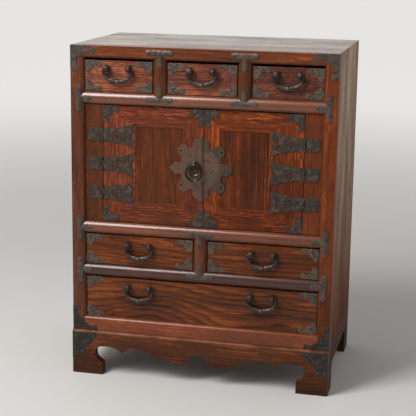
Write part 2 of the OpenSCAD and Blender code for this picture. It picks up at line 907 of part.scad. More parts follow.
module lock_plate_right() {
    color(iron) lock_half(meet_x + door_gap / 2, 2 * plate_reach);
}

// Round dished boss with a domed middle, and the eye that the ring hangs in
module ring_staple() {
    eye_out = 4.6;
    eye_w = 4.4;
    neck_r = 1.8;
    color(iron)
    difference() {
        union() {
            translate([boss_x, plate_y, door_mid]) rotate([90, 0, 0]) rotate(45)
            rotate_extrude()
            polygon(concat(
                [[0, 0], [boss_r, 0], [boss_r, 2.4]],
                bend([boss_r, 2.4], [boss_r - 1, 4.4], [boss_r - 3, 3]),
                bend([boss_r - 3, 3], [boss_r - 6, 1], [boss_r * 0.45, 4]),
                bend([boss_r * 0.45, 4], [boss_r * 0.2, 6], [0, 6]),
                [[0, 6]]
            ));
            translate([boss_x, plate_y - 1, eye_z]) rotate([90, 0, 0])
            cylinder(r = neck_r, h = ring_off - 4);
            rod_x(boss_x - eye_w / 2, eye_y, eye_z, eye_out, eye_w);
        }
        rod_x(boss_x - eye_w, eye_y, eye_z, ring_rod + 0.5, 2 * eye_w);
    }
}

module ring_pull() {
    color(dark_iron)
    translate([boss_x, eye_y, eye_z - ring_r]) rotate([90, 0, 0])
    rotate_extrude() translate([ring_r, 0]) circle(ring_rod);
}

// Tails of a drawer's side where they lap into the front, on the right of its middle
module tails(d) {
    tail_h = 12;
    count = floor((d_h(d) - d_gap(d)) / (2 * tail_h));
    for (i = [0 : count - 1])
        translate([d_w(d) / 2 - slip - side_t, face_y + front_t - tail_len, d_z(d) + 7 + i * 2 * tail_h])
        cube([side_t, tail_len + over, tail_h]);
}

module drawer_front(d) {
    w = d_w(d) - 2 * slip;
    color(wood)
    difference() {
        translate([d_x(d) - w / 2, face_y, d_z(d) + rest_gap])
        cube([w, front_t, d_h(d) - d_gap(d) - rest_gap]);
        translate([d_x(d), 0, 0]) both() tails(d);
    }
}

module drawer_box(d) {
    w = d_w(d) - 2 * slip;
    start = face_y + front_t;
    end = back_face - 2;
    wall_h = d_h(d) - d_gap(d) - 7;
    floor_z = d_z(d) + 5;
    color(inner_wood)
    translate([d_x(d), 0, 0]) {
        both() union() {
            translate([w / 2 - side_t, start, d_z(d) + rest_gap]) cube([side_t, end - start, wall_h]);
            tails(d);
        }
        translate([-w / 2 + side_t + joint_gap, end - side_t, floor_z])
        cube([w - 2 * side_t - 2 * joint_gap, side_t, wall_h - 5]);
        translate([-w / 2 + side_t + joint_gap, start + joint_gap, floor_z])
        cube([w - 2 * side_t - 2 * joint_gap, end - side_t - start - 2 * joint_gap, bottom_t]);
    }
}

// Post of a handle: stem and round head, cut flat on the side where the handle's arm hangs
module handle_post(x, z, way) {
    stem_r = 3.2;
    collar = 2;
    difference() {
        translate([x, face_y, z]) rotate([90, 0, 0]) rotate(90) rotate_extrude() {
            square([stem_r, handle_off]);
            square([stem_r + collar, collar]);
            intersection() {
                translate([0, handle_off]) circle(head_r);
                translate([0, handle_off - head_r]) square([head_r, 2 * head_r]);
            }
        }
        translate([way > 0 ? x + head_flat() : x - head_flat() - head_r, face_y - handle_off - head_r - over,
                   z - head_r - over])
        cube([head_r, 2 * head_r + over, 2 * head_r + 2 * over]);
        rod_x(x - head_r - over, face_y - handle_off, z, pivot_r + pin_fit, 2 * head_r + 2 * over);
    }
}

// From the middle of a head to its flat side
function head_flat() = head_r * 0.45;

module drawer_irons(d) {
    w = d_w(d) / 2 - slip;
    low = d_z(d) + rest_gap;
    high = d_z(d) + d_h(d) - d_gap(d);
    color(iron) {
        plate(face_y, iron_t)
        for (s = [0, 1], top = [0, 1])
            translate([d_x(d) + (s ? w : -w), top ? high : low]) mirror([s, 0, 0]) mirror([0, top, 0])
            lobed_corner(corner_w, corner_h, 11, 6);
        for (p = d_pulls(d), s = [-1, 1])
            handle_post(d_x(d) + p + s * post_pitch / 2, d_pull(d), s);
    }
}

// Path and section of a handle from its left arm over the grip to its right arm
elbow_r = arm_r + 0.3;
function arm_x() = post_pitch / 2 + head_flat() + elbow_r + rest_gap;
function grip_path(a) = [
    -arm_x() * sign(cos(a)) * pow(abs(cos(a)), 0.8),
    -grip_drop * pow(sin(a), 0.8)
];
function swell(a) = pow(sin(a), 3);

// Handle that swings on its two pivots: thin arms, a swollen grip and a round stud in its middle
module handle(x, z) {
    rings = 25;
    sides = 10;
    ends = 4;
    angles = [for (i = [0 : rings - 1]) ends + (180 - 2 * ends) * i / (rings - 1)];
    mids = concat([[-arm_x(), 0]], [for (a = angles) grip_path(a)], [[arm_x(), 0]]);
    sizes = concat([0], [for (a = angles) swell(a)], [0]);
    n = len(mids);
    points = [for (i = [0 : n - 1], k = [0 : sides - 1])
        let (before = mids[max(i - 1, 0)], after = mids[min(i + 1, n - 1)],
             run = (after - before) / norm(after - before),
             up = [-run[1], run[0]],
             high = arm_r + (grip_r - arm_r) * sizes[i], deep = arm_r + (grip_depth - arm_r) * sizes[i],
             turn = 360 * k / sides)
        [mids[i][0] + up[0] * high * cos(turn), deep * sin(turn), mids[i][1] + up[1] * high * cos(turn)]];
    faces = concat(
        [for (i = [0 : n - 2], k = [0 : sides - 1]) let (m = (k + 1) % sides)
            each [[i * sides + k, i * sides + m, (i + 1) * sides + m],
                  [i * sides + k, (i + 1) * sides + m, (i + 1) * sides + k]]],
        [[for (k = [sides - 1 : -1 : 0]) k], [for (k = [0 : sides - 1]) (n - 1) * sides + k]]
    );
    pivot_in = post_pitch / 2 - head_r / 2;
    color(dark_iron)
    translate([x, face_y - handle_off, z]) {
        union() {
            polyhedron(points, faces, convexity = 4);
            both() translate([arm_x(), 0, 0]) sphere(elbow_r);
            both() rod_x(pivot_in, 0, 0, pivot_r, arm_x() - pivot_in);
            translate([0, -1.2, -grip_drop]) sphere(grip_r - 0.8);
        }
    }
}

left() side_board();  // side_board_left
side_board();  // side_board_right
top_board();
back_board();
left() post();  // post_left
post();  // post_right
top_rail();
upper_rail();
middle_rail();
lower_rail();
bottom_rail();
dividers();
partitions();
shelf(small_z);  // upper_shelf
cupboard_floor();
shelf(medium_z);  // lower_shelf
shelf(wide_z);  // bottom_board
drawer_guides();
jambs();
stand_front();
stand_sides();
corner_irons();
strap_irons();
jamb_hinges();
hinge_pins();
color(door_wood) left() door_frame(-meet_x + door_gap / 2);  // door_left_frame
color(wood) left() door_panel();  // door_left_panel
color(iron) left() door_irons(-meet_x + door_gap / 2);  // door_left_irons
lock_plate_left();
ring_staple();
ring_pull();
color(door_wood) door_frame(meet_x + door_gap / 2);  // door_right_frame
color(wood) door_panel();  // door_right_panel
color(iron) door_irons(meet_x + door_gap / 2);  // door_right_irons
lock_plate_right();
for (d = DRAWERS) {
    drawer_front(d);
    drawer_box(d);
    drawer_irons(d);
}
for (h = HANDLES) {
    handle(h[1], h[2]);
}
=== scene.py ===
# Small antique cabinet of red-brown wood with hammered iron fittings: finishes, nails, handles,
# studio and camera. Lengths are in metres; the cabinet stands on z = 0 and its doors face -Y.
import math

import bpy
from mathutils import Matrix, Vector


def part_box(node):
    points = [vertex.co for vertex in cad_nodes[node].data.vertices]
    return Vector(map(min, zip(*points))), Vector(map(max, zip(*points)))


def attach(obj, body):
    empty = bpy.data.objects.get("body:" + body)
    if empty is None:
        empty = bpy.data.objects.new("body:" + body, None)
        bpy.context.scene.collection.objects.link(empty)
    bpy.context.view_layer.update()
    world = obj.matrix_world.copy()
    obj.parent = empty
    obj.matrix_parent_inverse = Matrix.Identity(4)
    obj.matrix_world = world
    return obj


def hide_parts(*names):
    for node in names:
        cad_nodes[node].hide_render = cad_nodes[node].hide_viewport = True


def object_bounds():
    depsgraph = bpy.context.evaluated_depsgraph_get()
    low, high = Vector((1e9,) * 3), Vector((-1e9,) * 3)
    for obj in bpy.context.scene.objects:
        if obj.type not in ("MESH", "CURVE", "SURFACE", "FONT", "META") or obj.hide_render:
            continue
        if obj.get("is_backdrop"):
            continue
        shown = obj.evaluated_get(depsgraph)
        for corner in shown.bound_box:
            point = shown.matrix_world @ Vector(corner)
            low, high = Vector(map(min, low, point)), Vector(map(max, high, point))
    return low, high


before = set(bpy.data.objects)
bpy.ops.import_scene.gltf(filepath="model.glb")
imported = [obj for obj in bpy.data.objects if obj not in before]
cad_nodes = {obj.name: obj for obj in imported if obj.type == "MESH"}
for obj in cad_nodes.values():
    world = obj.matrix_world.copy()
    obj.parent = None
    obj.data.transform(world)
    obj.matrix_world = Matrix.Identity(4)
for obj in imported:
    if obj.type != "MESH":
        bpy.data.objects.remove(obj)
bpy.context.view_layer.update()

DRAWERS = ["small_drawer_left", "small_drawer_middle", "small_drawer_right",
           "medium_drawer_left", "medium_drawer_right", "wide_drawer"]
SIDES = {"left": -1, "right": 1}

# Face of the drawers and doors, the level of the doors' middle and the stand's top
face_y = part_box("wide_drawer_front")[0].y
door_mid = (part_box("door_left_frame")[0].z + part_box("door_left_frame")[1].z) / 2
stand_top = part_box("stand_front")[1].z


# ---------- shader helpers ----------

def shade(red, green, blue):
    """A colour as it is seen on a screen, 0 to 255, as Blender's linear colour."""
    seen = [c / 255 for c in (red, green, blue)]
    return [c / 12.92 if c <= 0.04045 else ((c + 0.055) / 1.055) ** 2.4 for c in seen] + [1.0]


def rubbed_and_lit(colour, gain, lift):
    """The colour of a worn edge with a painted highlight on it, paler than the colour given."""
    return shade(*[min(255, c * gain + lift) for c in colour])


def fill(tree, node, inputs):
    """Fills a node's inputs, each with a plain value or with the output of another node."""
    for key, value in inputs.items():
        if isinstance(value, bpy.types.NodeSocket):
            tree.links.new(value, node.inputs[key])
        else:
            node.inputs[key].default_value = value


def add(tree, kind, inputs=None, **settings):
    """Adds a shader node with its settings and inputs."""
    made = tree.nodes.new("ShaderNode" + kind)
    for key, value in settings.items():
        setattr(made, key, value)
    fill(tree, made, inputs or {})
    return made


def blend(tree, amount, first, second, kind="MIX"):
    made = add(tree, "Mix", {0: amount, 6: first, 7: second}, data_type="RGBA", blend_type=kind)
    return made.outputs[2]


def math_node(tree, kind, *values):
    return add(tree, "Math", dict(enumerate(values)), operation=kind).outputs[0]


def ramp(tree, value, low, high, to_low=0.0, to_high=1.0):
    made = add(tree, "MapRange", {"Value": value, "From Min": low, "From Max": high,
                                  "To Min": to_low, "To Max": to_high}, interpolation_type="SMOOTHSTEP")
    return made.outputs[0]


def noise(tree, vector, scale, detail, **inputs):
    """The grey value of a noise texture."""
    return add(tree, "TexNoise", {"Vector": vector, "Scale": scale, "Detail": detail, **inputs}).outputs["Fac"]


def stretched(tree, vector, along, across):
    return add(tree, "Mapping", {"Vector": vector, "Scale": (along, across, across)}).outputs[0]


def along_axis(tree, place, axis):
    return add(tree, "SeparateXYZ", {0: place}).outputs[axis]


def shader_group(name, inputs, outputs):
    """A new node group with the outputs of its input node and the inputs of its output node."""
    tree = bpy.data.node_groups.new(name, "ShaderNodeTree")
    for label, kind, value in inputs:
        socket = tree.interface.new_socket(label, in_out="INPUT", socket_type="NodeSocket" + kind)
        if value is not None:
            socket.default_value = value
    for label, kind in outputs:
        tree.interface.new_socket(label, in_out="OUTPUT", socket_type="NodeSocket" + kind)
    start = tree.nodes.new("NodeGroupInput").outputs
    end = tree.nodes.new("NodeGroupOutput").inputs
    return tree, start, end


def use_group(tree, group, inputs):
    made = tree.nodes.new("ShaderNodeGroup")
    made.node_tree = group
    fill(tree, made, inputs)
    return made.outputs


# ---------- shader groups ----------

RING_STEP = 0.314     # metres between the rings of a wave texture at a scale of 1
REACH_SOFTNESS = 0.03
# How often a texture repeats along and across the grain, its detail, and the greys it runs between
GRAIN_LAYERS = {"Dashes": (50.0, 330.0, 3.0, 0.3, 0.7),
                "Fibres": (7.0, 460.0, 2.0, 0.32, 0.68),
                "Pores": (60.0, 1300.0, 1.0, 0.58, 0.72)}
# Scale and detail of the spots on the irons, and the greys they run between
IRON_SPOTS = {"Patina": (150.0, 4.0, 0.36, 0.64),
              "Rust": (60.0, 4.0, 0.5, 0.64),
              "Cold": (34.0, 2.0, 0.46, 0.6)}
GRIT_SHARE = 0.3
# How often the sway of the grain, the patches of dashes and the rubbed patches with their painted highlight repeat
# along and across it
SWAY_GRAIN, PATCH_GRAIN, RUB_AND_HIGHLIGHT_GRAIN = (5.0, 16.0), (9.0, 30.0), (22.0, 60.0)
# The greys of a texture between which it goes from nothing to all, and what the patches go between
RING_GREYS, CLOUD_GREYS, PATCH_GREYS, PATCH_SHARES = (0.98, 0.25), (0.34, 0.66), (0.38, 0.62), (0.3, 1.1)
WEAR_AND_HIGHLIGHT_GREYS, RUB_AND_HIGHLIGHT_GREYS = (0.35, 0.62), (0.35, 0.65)
# Cosine between an edge's flat and rounded normals where the edges' wear and painted highlight begin and are full,
# and the share of a door frame's width outwards where its painted edge shade begins and is full
WEAR_AND_HIGHLIGHT_STARTS, WEAR_AND_HIGHLIGHT_FULL = 0.995, 0.86
EDGE_SHADE_STARTS, EDGE_SHADE_FULL = 0.94, 0.995


def make_board_grain():
    """Growth rings, dashes, fibres, pores and clouds of a board whose grain runs along the vector's X.
    The rings see the length along the grain times Stretch, and past Reach in that length they run straight."""
    tree, start, end = shader_group(
        "board_grain",
        [("Vector", "Vector", None), ("Ring Width", "Float", 0.006), ("Waviness", "Float", 0.006),
         ("Stretch", "Float", 0.12), ("Reach", "Float", 10.0)],
        [("Rings", "Float"), ("Dashes", "Float"), ("Fibres", "Float"), ("Pores", "Float"), ("Clouds", "Float")])
    place = start["Vector"]
    slow = add(tree, "TexNoise", {"Vector": stretched(tree, place, *SWAY_GRAIN), "Scale": 1.0, "Detail": 3.0,
                                  "Roughness": 0.55})
    sway = add(tree, "VectorMath", {0: slow.outputs["Color"], 1: (0.5, 0.5, 0.5)}, operation="SUBTRACT")
    sway = add(tree, "VectorMath", {0: sway.outputs[0], "Scale": start["Waviness"]}, operation="SCALE")
    sides = add(tree, "SeparateXYZ", {0: place}).outputs
    along = math_node(tree, "MULTIPLY", sides["X"], start["Stretch"])
    along = math_node(tree, "SMOOTH_MIN", along, start["Reach"], REACH_SOFTNESS)
    along = math_node(tree, "SMOOTH_MAX", along, math_node(tree, "MULTIPLY", start["Reach"], -1.0), REACH_SOFTNESS)
    drawn = add(tree, "CombineXYZ", {0: along, 1: sides["Y"], 2: sides["Z"]})
    drawn = add(tree, "VectorMath", {0: drawn.outputs[0], 1: sway.outputs[0]}, operation="ADD")
    rate = math_node(tree, "DIVIDE", RING_STEP, start["Ring Width"])
    rings = add(tree, "TexWave", {"Vector": drawn.outputs[0], "Scale": rate, "Distortion": 1.6, "Detail": 2.0,
                                  "Detail Scale": 0.7}, wave_type="RINGS", rings_direction="SPHERICAL",
                wave_profile="SAW")
    tree.links.new(ramp(tree, rings.outputs["Fac"], *RING_GREYS), end["Rings"])
    patch = noise(tree, stretched(tree, place, *PATCH_GRAIN), scale=1.0, detail=2.0)
    patch = ramp(tree, patch, *PATCH_GREYS, *PATCH_SHARES)
    for label, (along, across, detail, low, high) in GRAIN_LAYERS.items():
        grain = noise(tree, stretched(tree, place, along, across), scale=1.0, detail=detail, Roughness=0.6)
        grain = ramp(tree, grain, low, high)
        if label == "Dashes":
            grain = math_node(tree, "MULTIPLY_ADD", math_node(tree, "SUBTRACT", grain, 0.5), patch, 0.5)
        tree.links.new(grain, end[label])
    tree.links.new(ramp(tree, slow.outputs["Fac"], *CLOUD_GREYS), end["Clouds"])
    return tree


def make_worn_edges():
    """Rounds the edges in the light, and marks where hands and cloths have rubbed them, together with a highlight
    painted along the edges.
    """
    tree, start, end = shader_group(
        "worn_edges", [("Vector", "Vector", None), ("Radius", "Float", 0.0015)],
        [("Normal", "Vector"), ("Wear and Highlight", "Float")])
    rounded = add(tree, "Bevel", {"Radius": start["Radius"]}, samples=6)
    flat = add(tree, "NewGeometry").outputs["True Normal"]
    turn = add(tree, "VectorMath", {0: rounded.outputs[0], 1: flat}, operation="DOT_PRODUCT").outputs["Value"]
    edge = ramp(tree, turn, WEAR_AND_HIGHLIGHT_STARTS, WEAR_AND_HIGHLIGHT_FULL)
    patchy = ramp(tree, noise(tree, start["Vector"], scale=70.0, detail=3.0), *WEAR_AND_HIGHLIGHT_GREYS)
    tree.links.new(rounded.outputs[0], end["Normal"])
    tree.links.new(math_node(tree, "MULTIPLY", edge, patchy), end["Wear and Highlight"])
    return tree


def make_hammered_iron():
    """Hammer dents, mottled patina, rust and cold grey patches of forged sheet iron."""
    tree, start, end = shader_group(
        "hammered_iron", [("Vector", "Vector", None), ("Dent Size", "Float", 0.005)],
        [("Dents", "Float"), ("Patina", "Float"), ("Rust", "Float"), ("Cold", "Float")])
    place = start["Vector"]
    rate = math_node(tree, "DIVIDE", 1.0, start["Dent Size"])
    dents = add(tree, "TexVoronoi", {"Vector": place, "Scale": rate, "Smoothness": 0.8}, feature="SMOOTH_F1")
    grit = noise(tree, place, scale=700.0, detail=2.0)
    tree.links.new(math_node(tree, "MULTIPLY_ADD", grit, GRIT_SHARE, dents.outputs["Distance"]), end["Dents"])
    for label, (scale, detail, low, high) in IRON_SPOTS.items():
        spots = noise(tree, place, scale, detail, Roughness=0.68, Distortion=0.4)
        tree.links.new(ramp(tree, spots, low, high), end[label])
    return tree


def make_mitred_frame():
    """Rail is 1 on the rails of a door and 0 on its stiles, parted by the slanting joint at each corner.
    The edge shade mask rises to 1 along the door's outer edges, for the painted shade in the gaps round the door."""
    tree, start, end = shader_group(
        "mitred_frame",
        [("Vector", "Vector", None), ("Inner Low", "Vector", None), ("Inner High", "Vector", None),
         ("Outer Low", "Vector", None), ("Outer High", "Vector", None)],
        [("Rail", "Float"), ("Edge Shade", "Float")])

    def reach(edge, far):
        past = add(tree, "VectorMath", {0: start["Vector"], 1: start[edge]}, operation="SUBTRACT")
        width = add(tree, "VectorMath", {0: start[far], 1: start[edge]}, operation="SUBTRACT")
        return add(tree, "VectorMath", {0: past.outputs[0], 1: width.outputs[0]}, operation="DIVIDE").outputs[0]

    nearest = add(tree, "VectorMath", {0: reach("Inner Low", "Outer Low"), 1: reach("Inner High", "Outer High")},
                  operation="MAXIMUM")
    parts = add(tree, "SeparateXYZ", {0: nearest.outputs[0]}).outputs
    tree.links.new(math_node(tree, "GREATER_THAN", parts["Z"], parts["X"]), end["Rail"])
    outmost = math_node(tree, "MAXIMUM", parts["X"], parts["Z"])
    tree.links.new(ramp(tree, outmost, EDGE_SHADE_STARTS, EDGE_SHADE_FULL), end["Edge Shade"])
    return tree


board_grain = make_board_grain()
worn_edges = make_worn_edges()
hammered_iron = make_hammered_iron()
mitred_frame = make_mitred_frame()


# ---------- materials ----------

GRAIN_TURN = {"x": (0, 0, 0), "y": (0, 0, -math.pi / 2), "z": (0, math.pi / 2, 0)}
# A board's look, where nothing else is said. The parts say how much the rings, dashes, fibres and clouds
# count; the edge share is the wear of its edges together with a painted highlight on them, rounded to the radius.
# A tint is an axis, the level where a colour is fully multiplied in, the level where it has faded out, and the
# colour. A stain is an amount and a colour for the clouds.
WOOD_LOOK = {"ring": 0.006, "waves": 0.012, "stretch": 0.1, "reach": 10.0, "parts": (0.2, 0.36, 0.26, 0.26),
             "gloss": 0.42, "specular": 0.12, "coat": 0.0, "coat_gloss": 0.2, "coat_index": 1.6,
             "relief": 0.4, "worn": 0.3, "radius": 0.0016, "tint": None, "stain": None, "rim": None}
PLAIN_FULL, BRIGHT_STARTS = 0.52, 0.5
PORE_SHARE, PORE_DARKNESS = 0.55, 0.55
# Painted shade along a door's outer edges, in the gaps round it: its share and its colour
EDGE_SHADE_SHARE, EDGE_SHADE_COLOUR = 0.75, (24, 13, 10)
RIDGE_PORES, RIDGE_RINGS = -0.8, 0.5
WOOD_RELIEF_DEPTH, IRON_RELIEF_DEPTH = 0.0005, 0.0012
# Radius of the irons' rounded edges, and the share of their edge wear with its painted highlight
IRON_EDGE_R, IRON_WEAR_AND_HIGHLIGHT = 0.0008, 0.7
COLD_COLOUR = (50, 52, 56)
# Gain and lift of the colour of the rubbed edges with their painted highlight, and how far the roughness runs up and
# down from the gloss
WOOD_RUB_AND_HIGHLIGHT, IRON_RUB_AND_HIGHLIGHT = (1.15, 18), (1.4, 20)
WOOD_DULL, WOOD_SHINE = 0.08, -0.06
IRON_DULL, IRON_SHINE = 0.12, -0.08


def new_material(name):
    material = bpy.data.materials.new(name)
    material.use_nodes = True
    tree = material.node_tree
    shader = tree.nodes["Principled BSDF"]
    place = add(tree, "TexCoord").outputs["Object"]
    return material, tree, shader, place


def along_grain(tree, place, grain, pith):
    """Object coordinates turned so that the grain runs along X, about the middle of the tree."""
    return add(tree, "Mapping", {"Vector": place, "Rotation": GRAIN_TURN[grain], "Location": pith}).outputs[0]


def dim_along(tree, place, colour, tint):
    """Multiplies a colour by the tint's, fading out along an axis."""
    axis, full, gone, dim = tint
    share = ramp(tree, along_axis(tree, place, axis), full, gone, 1.0, 0.0)
    return blend(tree, share, colour, shade(*dim), "MULTIPLY")


def recolour(material, make_share, make_colour):
    """Blends another colour over a finished material. Both functions draw nodes from its tree and place."""
    tree = material.node_tree
    place = add(tree, "TexCoord").outputs["Object"]
    base = tree.nodes["Principled BSDF"].inputs["Base Color"]
    finished = base.links[0].from_socket
    tree.links.new(blend(tree, make_share(tree, place), finished, make_colour(tree, place)), base)


def dress_wood(tree, shader, place, vector, tones, **changes):
    """Colour, gloss and relief of a board from its grain. The tones go from the dark veins over the
    plain wood to the bright streaks, and the changes are to WOOD_LOOK."""
    look = {**WOOD_LOOK, **changes}
    dark, plain, bright = tones
    grain = use_group(tree, board_grain, {"Vector": vector, "Ring Width": look["ring"], "Waviness": look["waves"],
                                          "Stretch": look["stretch"], "Reach": look["reach"]})
    edges = use_group(tree, worn_edges, {"Vector": place, "Radius": look["radius"]})
    tone = 0.5 - sum(look["parts"]) / 2
    for label, share in zip(("Rings", "Dashes", "Fibres", "Clouds"), look["parts"]):
        tone = math_node(tree, "MULTIPLY_ADD", grain[label], share, tone)
    colour = blend(tree, ramp(tree, tone, 0.0, PLAIN_FULL), shade(*dark), shade(*plain))
    colour = blend(tree, ramp(tree, tone, BRIGHT_STARTS, 1.0), colour, shade(*bright))
    if look["stain"]:
        amount, stained = look["stain"]
        colour = blend(tree, math_node(tree, "MULTIPLY", grain["Clouds"], amount), colour, shade(*stained))
    colour = blend(tree, math_node(tree, "MULTIPLY", grain["Pores"], PORE_SHARE), colour,
                   shade(*[c * PORE_DARKNESS for c in dark]))
    if look["tint"]:
        colour = dim_along(tree, place, colour, look["tint"])
    # Painted shade along the door's outer edges
    if look["rim"]:
        colour = blend(tree, math_node(tree, "MULTIPLY", look["rim"], EDGE_SHADE_SHARE), colour, shade(*EDGE_SHADE_COLOUR))
    # Worn edges paler, with a painted highlight along them
    wear_and_highlight_share = math_node(tree, "MULTIPLY", edges["Wear and Highlight"], look["worn"])
    tree.links.new(blend(tree, wear_and_highlight_share, colour, rubbed_and_lit(bright, *WOOD_RUB_AND_HIGHLIGHT)), shader.inputs["Base Color"])
    gloss = ramp(tree, grain["Dashes"], 0.0, 1.0, look["gloss"] + WOOD_DULL, look["gloss"] + WOOD_SHINE)
    tree.links.new(gloss, shader.inputs["Roughness"])
    ridge = math_node(tree, "MULTIPLY_ADD", grain["Pores"], RIDGE_PORES, grain["Dashes"])
    ridge = math_node(tree, "MULTIPLY_ADD", grain["Rings"], RIDGE_RINGS, ridge)
    bump = add(tree, "Bump", {"Height": ridge, "Strength": look["relief"], "Distance": WOOD_RELIEF_DEPTH,
                              "Normal": edges["Normal"]})
    fill(tree, shader, {"Normal": bump.outputs[0], "Specular IOR Level": look["specular"],
                        "Coat Weight": look["coat"], "Coat Roughness": look["coat_gloss"],
                        "Coat IOR": look["coat_index"]})


def wood(name, tones, grain, pith, **changes):
    material, tree, shader, place = new_material(name)
    dress_wood(tree, shader, place, along_grain(tree, place, grain, pith), tones, **changes)
    return material


# The opening of the left door's frame, from its inner to its outer upright edge and from low to high
PANEL_INNER, PANEL_OUTER, PANEL_LOW, PANEL_HIGH = 0.042, 0.152, 0.4148, 0.5872
# The mitres are drawn across X and Z alone: in depth the opening only has to lie inside the frame
OPENING_DEPTH, FRAME_DEPTH = 0.01, 1.0
DOOR_LOOKS = {
    "left": {"level": (0.075, 0.19, -0.61), "upright": (-0.5, 0.26, -0.12),
             "tones": ((70, 30, 19), (110, 53, 28), (180, 91, 42)),
             "tint": ("Z", 0.37, 0.63, (238, 236, 222)), "stain": (0.42, (74, 34, 42))},
    "right": {"level": (-0.11, 0.19, -0.61), "upright": (-0.5, 0.26, 0.1),
              "tones": ((70, 28, 14), (112, 50, 20), (182, 88, 32)),
              "tint": ("Z", 0.37, 0.63, (218, 210, 196)), "stain": None},
}


def door_wood(name, side):
    """A door's frame: upright grain in the stiles and level grain in the rails, parted at the mitres."""
    material, tree, shader, place = new_material(name)
    look = DOOR_LOOKS[side]
    opening = sorted(SIDES[side] * x for x in (PANEL_INNER, PANEL_OUTER))
    outer_low, outer_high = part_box(f"door_{side}_frame")
    joint = use_group(tree, mitred_frame, {
        "Vector": place,
        "Inner Low": (opening[0], outer_low.y - OPENING_DEPTH, PANEL_LOW),
        "Inner High": (opening[1], outer_high.y + OPENING_DEPTH, PANEL_HIGH),
        "Outer Low": (outer_low.x, outer_low.y - FRAME_DEPTH, outer_low.z),
        "Outer High": (outer_high.x, outer_high.y + FRAME_DEPTH, outer_high.z)})
    level = along_grain(tree, place, "x", look["level"])
    upright = along_grain(tree, place, "z", look["upright"])
    vector = add(tree, "Mix", {0: joint["Rail"], 4: upright, 5: level}, data_type="VECTOR").outputs[1]
    dress_wood(tree, shader, place, vector, look["tones"], ring=0.0062, waves=0.03, stretch=0.2,
               parts=(0.2, 0.62, 0.3, 0.36), gloss=0.38, coat=0.15, coat_index=1.5, relief=0.45, worn=0.55,
               radius=0.0014, tint=look["tint"], stain=look["stain"], rim=joint["Edge Shade"])
    return material


def iron(name, body, light, rust_colour, dent_size, dent_depth, gloss, metal, rust, cold, tint=None):
    """Forged iron from the colours of its body, its lighter patina and its rust. The last two numbers say
    how much the rust and the cold grey spots count."""
    material, tree, shader, place = new_material(name)
    forged = use_group(tree, hammered_iron, {"Vector": place, "Dent Size": dent_size})
    edges = use_group(tree, worn_edges, {"Vector": place, "Radius": IRON_EDGE_R})
    colour = blend(tree, forged["Patina"], shade(*body), shade(*light))
    colour = blend(tree, math_node(tree, "MULTIPLY", forged["Cold"], cold), colour, shade(*COLD_COLOUR))
    spots = math_node(tree, "MULTIPLY", forged["Rust"], rust)
    colour = blend(tree, spots, colour, shade(*rust_colour))
    # Worn edges paler, with a painted highlight along them
    wear_and_highlight_share = math_node(tree, "MULTIPLY", edges["Wear and Highlight"], IRON_WEAR_AND_HIGHLIGHT)
    colour = blend(tree, wear_and_highlight_share, colour, rubbed_and_lit(light, *IRON_RUB_AND_HIGHLIGHT))
    if tint:
        colour = dim_along(tree, place, colour, tint)
    bump = add(tree, "Bump", {"Height": forged["Dents"], "Strength": dent_depth, "Distance": IRON_RELIEF_DEPTH,
                              "Normal": edges["Normal"]})
    fill(tree, shader, {
        "Base Color": colour, "Metallic": math_node(tree, "MULTIPLY_ADD", spots, -metal, metal),
        "Roughness": ramp(tree, forged["Patina"], 0.0, 1.0, gloss + IRON_DULL, gloss + IRON_SHINE),
        "Normal": bump.outputs[0]})
    return material


# The lock plate's painted shade towards its rim: how far from its middle it starts and is full, its share,
# from where to where its colour changes across the plate, and the two colours, reddish brown at the left and darkest
# at the right
PLATE_SHADE_STARTS, PLATE_SHADE_FULL, PLATE_SHADE_SHARE = 0.036, 0.05, 0.62
PLATE_CHANGE = (-0.02, 0.03)
PLATE_SHADE_LEFT, PLATE_SHADE_RIGHT = (104, 74, 58), (54, 47, 43)


def plate_iron(name):
    """The lock plate: grey-brown in its middle, with painted shade towards its rim, reddish brown at the left and
    dark at the right.
    """
    material = iron(name, (88, 68, 55), (114, 90, 73), (112, 70, 50), dent_size=0.009, dent_depth=0.35,
                    gloss=0.44, metal=0.5, rust=0.4, cold=0.2)

    # Painted shade, from the plate's middle out to its rim
    def towards_rim(tree, place):
        off = add(tree, "VectorMath", {0: place, 1: (0.0, face_y, door_mid)}, operation="DISTANCE")
        rim = ramp(tree, off.outputs["Value"], PLATE_SHADE_STARTS, PLATE_SHADE_FULL)
        return math_node(tree, "MULTIPLY", rim, PLATE_SHADE_SHARE)

    def rim_colour(tree, place):
        rightward = ramp(tree, along_axis(tree, place, "X"), *PLATE_CHANGE)
        return blend(tree, rightward, shade(*PLATE_SHADE_LEFT), shade(*PLATE_SHADE_RIGHT))

    recolour(material, towards_rim, rim_colour)
    return material


def rub_and_highlight_ledge(material, low, high, colour):
    """Rubs a wood bright in patches above a level, where cloths and hands wear its ledge, and paints the highlight
    along that ledge into the same patches.
    """
    def rubbed_and_lit_part(tree, place):
        patchy = ramp(tree, noise(tree, stretched(tree, place, *RUB_AND_HIGHLIGHT_GRAIN), scale=1.0, detail=3.0), *RUB_AND_HIGHLIGHT_GREYS)
        return math_node(tree, "MULTIPLY", ramp(tree, along_axis(tree, place, "Z"), low, high), patchy)

    recolour(material, rubbed_and_lit_part, lambda tree, place: shade(*colour))


DEPTH_SHARE = 0.8


def tint_by_depth(material, near, far, colour):
    """Gives what stands out from the face of the drawers, from near to far, another colour."""
    def raised_part(tree, place):
        return ramp(tree, along_axis(tree, place, "Y"), face_y - near, face_y - far, 0.0, DEPTH_SHARE)

    recolour(material, raised_part, lambda tree, place: shade(*colour))


